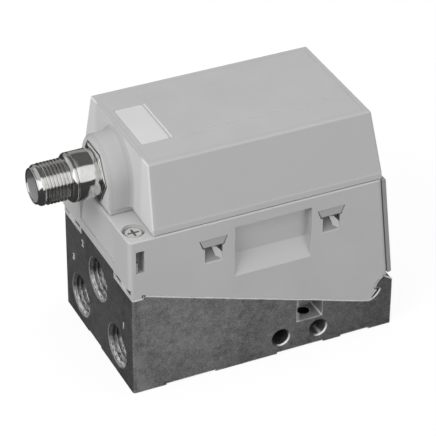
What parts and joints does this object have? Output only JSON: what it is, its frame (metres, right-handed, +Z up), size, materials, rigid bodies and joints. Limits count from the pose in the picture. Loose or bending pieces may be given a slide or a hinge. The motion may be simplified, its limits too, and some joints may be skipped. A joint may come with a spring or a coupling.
{
  "type": "electro_pneumatic_regulator",
  "caption": "Electro-pneumatic pressure regulator: ported metal valve body with sloped seam, grey housing with clip-on cover and round M12 plug connector, pilot operated inside.",
  "frame": {"origin": "centre of the valve body's underside, on the plane it is bolted to", "axes": "+X from the connector end to the rear, +Y across the body, +Z up"},
  "size_m": [0.1007, 0.0498, 0.072],
  "materials": {
    "cast_metal": "fine cast texture, dull grey",
    "machined_aluminium": "machined",
    "plated_brass": "nickel plated, turned",
    "steel": "bright",
    "rubber": "matte black",
    "moulding": "fine grained, light grey",
    "rear_moulding": "fine grained, dark grey",
    "label": "satin, bare",
    "black_plastic": "satin black",
    "gold_plating": "gold plated",
    "lead_insulation": "insulated wire",
    "board_laminate": "solder mask",
    "copper_wire": "enamelled copper"
  },
  "bodies": {
    "regulator_body": {"valve_body": "cast_metal", "supply_seat": "steel", "plug_circlip": "steel", "valve_plug": "machined_aluminium", "pilot_bonnet": "machined_aluminium", "plug_seals": "rubber", "stem_seal": "rubber", "bonnet_seal": "rubber", "housing_gasket": "rubber", "cover_seal": "rubber", "connector_seal": "rubber", "sensor_seal": "rubber", "connector_nut": "plated_brass", "connector_shell": "plated_brass", "poppet_spring": "steel", "relay_spring": "steel", "fill_armature_spring": "steel", "vent_armature_spring": "steel", "bonnet_screws": "steel", "pilot_screws": "steel", "housing_screws": "steel", "board_screws": "steel", "pressure_sensor": "steel", "housing": "moulding", "cover": "moulding", "rear_plate": "rear_moulding", "label_plate": "label", "connector_insert": "black_plastic", "board_inductor": "black_plastic", "board_chips": "black_plastic", "fill_coil_bobbin": "black_plastic", "vent_coil_bobbin": "black_plastic", "fill_valve_base": "black_plastic", "vent_valve_base": "black_plastic", "connector_pins": "gold_plating", "fill_coil_terminals": "gold_plating", "vent_coil_terminals": "gold_plating", "connector_leads": "lead_insulation", "circuit_board": "board_laminate", "board_capacitors": "steel", "fill_valve_tube": "steel", "vent_valve_tube": "steel", "fill_valve_pole": "steel", "vent_valve_pole": "steel", "fill_coil_yoke": "steel", "vent_coil_yoke": "steel", "fill_coil_winding": "copper_wire", "vent_coil_winding": "copper_wire"},
    "poppet": {"supply_poppet": "plated_brass", "poppet_disc": "rubber"},
    "relay_piston": {"relay_piston": "plated_brass", "piston_seal": "rubber"},
    "fill_armature": {"fill_armature": "steel", "fill_armature_seal": "rubber"},
    "vent_armature": {"vent_armature": "steel", "vent_armature_seal": "rubber"}
  },
  "joints": [
    {"name": "poppet_travel", "type": "slide", "parent": "regulator_body", "child": "poppet", "axis": [0, 0, -1], "range_m": [0, 0.0012], "stiffness_N_per_m": 1000, "springref_m": -0.005, "deforming": ["poppet_spring"]},
    {"name": "piston_travel", "type": "slide", "parent": "poppet", "child": "relay_piston", "axis": [0, 0, -1], "range_m": [0, 0.00075], "stiffness_N_per_m": 500, "springref_m": -0.004, "deforming": ["relay_spring"]},
    {"name": "fill_armature_travel", "type": "slide", "parent": "regulator_body", "child": "fill_armature", "axis": [0, 0, 1], "range_m": [0, 0.0005], "stiffness_N_per_m": 400, "springref_m": -0.003, "deforming": ["fill_armature_spring"]},
    {"name": "vent_armature_travel", "type": "slide", "parent": "regulator_body", "child": "vent_armature", "axis": [0, 0, 1], "range_m": [0, 0.0005], "stiffness_N_per_m": 400, "springref_m": -0.003, "deforming": ["vent_armature_spring"]}
  ]
}
